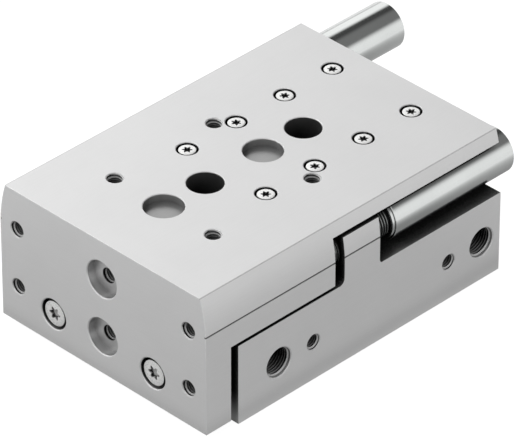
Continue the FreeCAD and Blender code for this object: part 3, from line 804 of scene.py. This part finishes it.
def rail_screws(side, materials):
    """The row of screws that holds one moving rail, set flush in the top."""
    node = "rail_screws_" + side
    middle, first, pitch, head_radius = screw_row(node)
    low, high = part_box(node)
    forms = screw_forms(head_radius / MM, (high.z - low.z) / MM, RAIL_SCREW)
    skin = Skin()
    for k in range(RAIL_SCREW_COUNT):
        place = along((middle, first + k * pitch, high.z), (0, 0, -1))
        turn = Matrix.Rotation(math.radians(FIRST_TURN + TURN_STEP * k), 4, "Z")
        for form in forms:
            skin.add(form, place @ turn)
    make_piece("lobed_" + node, skin, "screw_steel", "slide", materials, (node,))


def rod_screw(side, materials):
    """The screw that ties one piston rod to the yoke."""
    node = "rod_screw_" + side
    low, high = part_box(node)
    head_radius = (high.x - low.x) / 2 / MM
    mouth = ((low.x + high.x) / 2, low.y, (low.z + high.z) / 2)
    skin = Skin()
    for form in screw_forms(head_radius, (high.y - low.y) / MM, ROD_SCREW):
        skin.add(form, along(mouth, (0, 1, 0)))
    make_piece("lobed_" + node, skin, "screw_steel", "slide", materials, (node,))


def neck_rings(sleeve):
    """Rings from the floor of the bore round the mouth and along the neck to the sleeve."""
    core = CUSHION_THREAD - RIDGE_SHARE * CUSHION_PITCH
    neck = CUSHION_NECK_LENGTH
    collar_round = CUSHION_COLLAR_ROUND
    collar_end = neck + CUSHION_COLLAR_LENGTH
    return [
        (CUSHION_BORE_DEPTH, CUSHION_BORE_TIP_SHARE * CUSHION_BORE),
        (CUSHION_BORE_DEPTH, CUSHION_BORE),
        (CUSHION_MOUTH_EDGE, CUSHION_BORE),
        (0.0, CUSHION_BORE + CUSHION_MOUTH_EDGE),
        (0.0, core - CUSHION_MOUTH_EDGE),
        (CUSHION_NECK_LEAD, core),
        (neck, core),
        (neck, CUSHION_COLLAR - collar_round),
        (neck + collar_round / 3, CUSHION_COLLAR - collar_round / 3),
        (neck + collar_round, CUSHION_COLLAR),
        (collar_end, CUSHION_COLLAR),
        (collar_end, sleeve - CUSHION_SLEEVE_EDGE),
        (collar_end + CUSHION_SLEEVE_EDGE, sleeve),
    ]


def rear_rings(sleeve, length):
    """Rings round the rear edge of the sleeve and into its hexagonal socket."""
    rings = []
    for k in range(REAR_ROUND_PARTS + 1):
        angle = math.pi / 2 * k / REAR_ROUND_PARTS
        axial = length - CUSHION_REAR_ROUND * (1 - math.sin(angle))
        rings.append((axial, sleeve - CUSHION_REAR_ROUND * (1 - math.cos(angle))))
    socket = hexagon(CUSHION_SOCKET_REACH)
    socket_floor = length - CUSHION_SOCKET_DEPTH
    rings += [
        (length, hexagon(CUSHION_SOCKET_REACH + CUSHION_SOCKET_EDGE)),
        (length - CUSHION_SOCKET_EDGE, socket),
        (socket_floor, socket),
        (socket_floor - CUSHION_SOCKET_CONE, CUSHION_SOCKET_TIP),
    ]
    return rings


def cushion(name, body, materials):
    """Cushion body: bored neck with its thread, stepped collar, sleeve and rear socket."""
    node = name + "_cushion_body"
    low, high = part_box(node)
    sleeve = (high.x - low.x) / 2 / MM
    length = (high.y - low.y) / MM
    rings = neck_rings(sleeve) + rear_rings(sleeve, length)
    thread = outer_ridge(CUSHION_THREAD, CUSHION_PITCH, CUSHION_THREAD_START, CUSHION_NECK_LENGTH)
    place = along(((low.x + high.x) / 2, low.y, (low.z + high.z) / 2), (0, 1, 0))
    skin = Skin()
    skin.add(stack(rings, CUSHION_STEPS), place)
    skin.add(thread, place)
    make_piece(name + "_cushion_threaded", skin, "cushion_steel", body, materials, (node,))


def tapped_holes(materials):
    """Thread ridges in every tapped hole that the record's mounts name."""
    carried = frame["record"]["behaviour"]["bodies"]
    bodies = {node: body for body, nodes in carried.items() for node in nodes}
    for mount in frame["record"]["mounts"]:
        name = mount["name"]
        inward = -Vector(mount["axis"])
        if name in TAPPED:
            pitch, depth = TAPPED[name]
            radius = mount["dims"]["hole_r_mm"]
            mouths = pattern_places(mount)
        elif mount["kind"] == "threaded_hole":
            pitch = PORT_PITCH
            depth = mount["dims"]["length_mm"]
            radius = mount["dims"]["r_mm"]
            mouths = [Vector(mount["pos_m"]) - inward * depth / 2 * MM]
        else:
            continue
        form = inner_ridge(radius, pitch, THREAD_START, depth - THREAD_START)
        skin = Skin()
        for mouth in mouths:
            skin.add(form, along(mouth, inward))
        moving = name.startswith(("table", "yoke"))
        body = bodies["slide_table"] if moving else bodies["housing"]
        piece = make_piece(name + "_ridges", skin, "anodised_aluminium", body, materials)
        # The materials read this number: it is 1 where the painted hollow shade of a cut thread is
        # weaker.
        piece.pass_index = int(name in TAPPED)


def ray_kinds(tree):
    """1 for rays from the camera, and 1 for rays that show what metal and glass mirror."""
    rays = add_node(tree, "ShaderNodeLightPath").outputs
    mirrored = calculate(tree, "MAXIMUM", rays["Is Glossy Ray"], rays["Is Transmission Ray"])
    return rays["Is Camera Ray"], mirrored


def floor_material():
    """White further out; near the object the glow is lower and the paint takes its shadow, and in
    mirrors the glow drops to a painted shadow.
    """
    material, tree = new_material("studio_floor")
    place = add_node(tree, "ShaderNodeTexCoord").outputs["Object"]
    reach = vector_math(tree, "LENGTH", place).outputs["Value"]
    far = soft_step(tree, reach, FLOOR_NEAR, FLOOR_FAR, 0.0, 1.0)
    camera, mirrored = ray_kinds(tree)
    seen_glow = calculate(tree, "ADD", FLOOR_GLOW, product(tree, far, FLOOR_GLOW_GAIN))
    # Painted shadow: in mirrors the floor's glow is low near the object.
    mirror_glow = soft_step(tree, reach, MIRROR_NEAR, MIRROR_FAR, *MIRROR_GLOW)
    glow = calculate(tree, "ADD", product(tree, camera, seen_glow), product(tree, mirrored, mirror_glow))
    paint = between(tree, far, FLOOR_PAINT, 0.0)
    color = add_node(tree, "ShaderNodeCombineColor", {0: paint, 1: paint, 2: paint}).outputs[0]
    diffuse = add_node(tree, "ShaderNodeBsdfDiffuse", {"Color": color})
    emission = add_node(tree, "ShaderNodeEmission", {"Strength": glow})
    both = add_node(tree, "ShaderNodeAddShader", {0: diffuse.outputs[0], 1: emission.outputs[0]})
    add_node(tree, "ShaderNodeOutputMaterial", {"Surface": both.outputs[0]})
    return material


def make_floor():
    """Pale floor that keeps the object's soft shadow."""
    half = FLOOR_HALF
    corners = [(-half, -half, 0), (half, -half, 0), (half, half, 0), (-half, half, 0)]
    mesh = bpy.data.meshes.new("studio_floor")
    mesh.from_pydata(corners, [], [(0, 1, 2, 3)])
    mesh.materials.append(floor_material())
    floor = bpy.data.objects.new("studio_floor", mesh)
    floor.location.z = -FLOOR_DROP
    bpy.context.scene.collection.objects.link(floor)


def room_light(tree):
    """Brightness of the room as mirrored, by direction."""
    direction = add_node(tree, "ShaderNodeTexCoord").outputs["Generated"]
    crosswise = vector_math(tree, "MULTIPLY", direction, (1.0, 0.0, 1.0)).outputs[0]
    turned = vector_math(tree, "NORMALIZE", crosswise).outputs[0]
    room = ROOM
    for middle, full, whole, level in BANDS:
        angle = math.radians(middle)
        towards = (math.cos(angle), 0.0, math.sin(angle))
        facing = vector_math(tree, "DOT_PRODUCT", turned, towards).outputs["Value"]
        start = math.cos(math.radians(whole))
        end = math.cos(math.radians(full))
        room = calculate(tree, "ADD", room, soft_step(tree, facing, start, end, 0.0, level))
    front = soft_step(tree, split(tree, direction)["Y"], FRONT_START, FRONT_FULL, 0.0, FRONT_ROOM)
    return calculate(tree, "MAXIMUM", room, front)


def make_world():
    """White to the camera, the light bands of the room in mirrors, a soft dim sky otherwise."""
    world = bpy.data.worlds.new("studio")
    bpy.context.scene.world = world
    world.use_nodes = True
    tree = world.node_tree
    tree.nodes.clear()
    camera, mirrored = ray_kinds(tree)
    seen = calculate(tree, "MAXIMUM", camera, mirrored)
    plain = product(tree, rest_of(tree, seen), SKY)
    reflected = product(tree, mirrored, room_light(tree))
    total = calculate(tree, "ADD", calculate(tree, "ADD", plain, reflected), camera)
    background = add_node(tree, "ShaderNodeBackground", {"Color": (1, 1, 1, 1), "Strength": total})
    add_node(tree, "ShaderNodeOutputWorld", {"Surface": background.outputs[0]})


def add_lamp(name, location, size, radiance):
    """Square soft lamp that faces the object and stays out of the metal's gloss."""
    data = bpy.data.lights.new(name, "AREA")
    data.shape = "SQUARE"
    data.size = size
    data.energy = radiance * math.pi * size * size
    lamp = bpy.data.objects.new(name, data)
    lamp.location = location
    lamp.visible_glossy = False
    lamp.rotation_euler = Vector(location).to_track_quat("Z", "Y").to_euler()
    bpy.context.scene.collection.objects.link(lamp)


def make_camera():
    """Camera at the photograph's viewing angle."""
    azimuth = math.radians(CAMERA_AZIMUTH)
    elevation = math.radians(CAMERA_ELEVATION)
    roll = math.radians(CAMERA_ROLL)
    back = Vector((math.sin(azimuth) * math.cos(elevation),
                   -math.cos(azimuth) * math.cos(elevation), math.sin(elevation)))
    right = Vector((math.cos(azimuth), math.sin(azimuth), 0))
    up = back.cross(right)
    level_right = math.cos(roll) * right + math.sin(roll) * up
    level_up = math.cos(roll) * up - math.sin(roll) * right
    data = bpy.data.cameras.new("camera")
    data.lens = CAMERA_LENS
    data.sensor_width = CAMERA_SENSOR
    data.clip_start, data.clip_end = CAMERA_CLIP
    camera = bpy.data.objects.new("camera", data)
    turn = Matrix((level_right, level_up, back)).transposed().to_4x4()
    target = Vector(CAMERA_TARGET) * MM
    camera.matrix_world = Matrix.Translation(target + back * CAMERA_DISTANCE * MM) @ turn
    bpy.context.scene.collection.objects.link(camera)
    bpy.context.scene.camera = camera


bpy.context.scene.view_settings.view_transform = "Standard"
finishes = make_materials()
dress_nodes(finishes)
for side_name in ("left", "right"):
    rail_screws(side_name, finishes)
    rod_screw(side_name, finishes)
cushion("retract", "housing", finishes)
cushion("extend", "slide", finishes)
tapped_holes(finishes)
make_floor()
make_world()
for lamp_name, lamp_settings in LAMPS.items():
    add_lamp(lamp_name, *lamp_settings)
make_camera()
